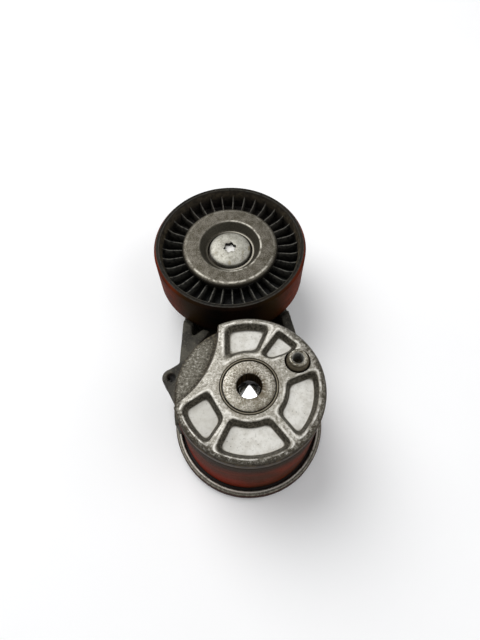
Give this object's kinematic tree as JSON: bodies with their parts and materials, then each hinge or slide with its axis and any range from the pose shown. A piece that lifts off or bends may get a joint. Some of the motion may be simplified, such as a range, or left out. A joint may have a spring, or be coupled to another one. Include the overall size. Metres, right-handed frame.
{
  "type": "belt tensioner",
  "caption": "Sprung belt tensioner: a ribbed smooth idler pulley on a cast arm that swings about a round spring drum with a pocketed front plate and a central bolt bore.",
  "frame": {"origin": "centre of the base dish's mounting face, on the pivot axis", "axes": "+Z along the pivot axis from the mounting face to the front plate, +Y roughly towards the pulley, +X to its right"},
  "size_m": [0.0813, 0.1521, 0.0575],
  "materials": {
    "plate_casting": "die-cast, pale, lightly pitted and stained",
    "arm_casting": "rough die-cast, weathered dark olive grey",
    "base_casting": "die-cast, grimy grey with a worn lip",
    "machined_steel": "turned, with a worn and stained face",
    "sleeve_steel": "turned, dark with age",
    "spring_steel": "phosphated, oiled",
    "bearing_steel": "ground and polished",
    "pressed_steel": "pressed, warm grey, worn bright at the edges",
    "bolt_steel": "zinc plated, dulled",
    "pulley_polymer": "glass-filled black moulding with a polished, stained belt face",
    "bushing_polymer": "natural, low friction",
    "dark_polymer": "moulded black",
    "seal_rubber": "moulded rubber"
  },
  "bodies": {
    "base": {"base_dish": "base_casting", "pivot_tube": "machined_steel", "front_plate": "plate_casting", "swage_ring": "machined_steel", "threaded_sleeve": "sleeve_steel", "stop_pin": "bearing_steel", "wave_washer": "spring_steel", "torsion_spring": "spring_steel", "lower_spring_seat": "dark_polymer", "damping_shoe": "dark_polymer", "dust_seal": "seal_rubber"},
    "arm": {"arm": "arm_casting", "upper_bushing": "bushing_polymer", "lower_bushing": "bushing_polymer", "friction_washer": "dark_polymer", "upper_spring_seat": "dark_polymer", "pulley_spacer": "machined_steel", "rear_shield": "pressed_steel", "bearing_inner_ring": "bearing_steel", "dust_cap": "pressed_steel", "pulley_bolt": "bolt_steel"},
    "cage": {"bearing_cage": "bushing_polymer", "bearing_balls": "bearing_steel"},
    "pulley": {"pulley": "pulley_polymer", "bearing_outer_ring": "bearing_steel", "front_seal": "seal_rubber", "rear_seal": "seal_rubber"}
  },
  "joints": [
    {"name": "arm_swing", "type": "hinge", "parent": "base", "child": "arm", "pos_m": [0, 0, 0], "axis": [0, 0, 1], "range_deg": [0, 38], "stiffness_Nm_per_rad": 12, "springref_deg": -51.57},
    {"name": "pulley_spin", "type": "hinge", "parent": "arm", "child": "pulley", "pos_m": [-0.0073, 0.0781, 0.033], "axis": [0, 0, 1], "continuous": true},
    {"name": "cage_spin", "type": "hinge", "parent": "arm", "child": "cage", "pos_m": [-0.0073, 0.0781, 0.0298], "axis": [0, 0, 1], "continuous": true}
  ],
  "couplings": [
    {"joint": "cage_spin", "follows": "pulley_spin", "ratio": 0.6123}
  ]
}
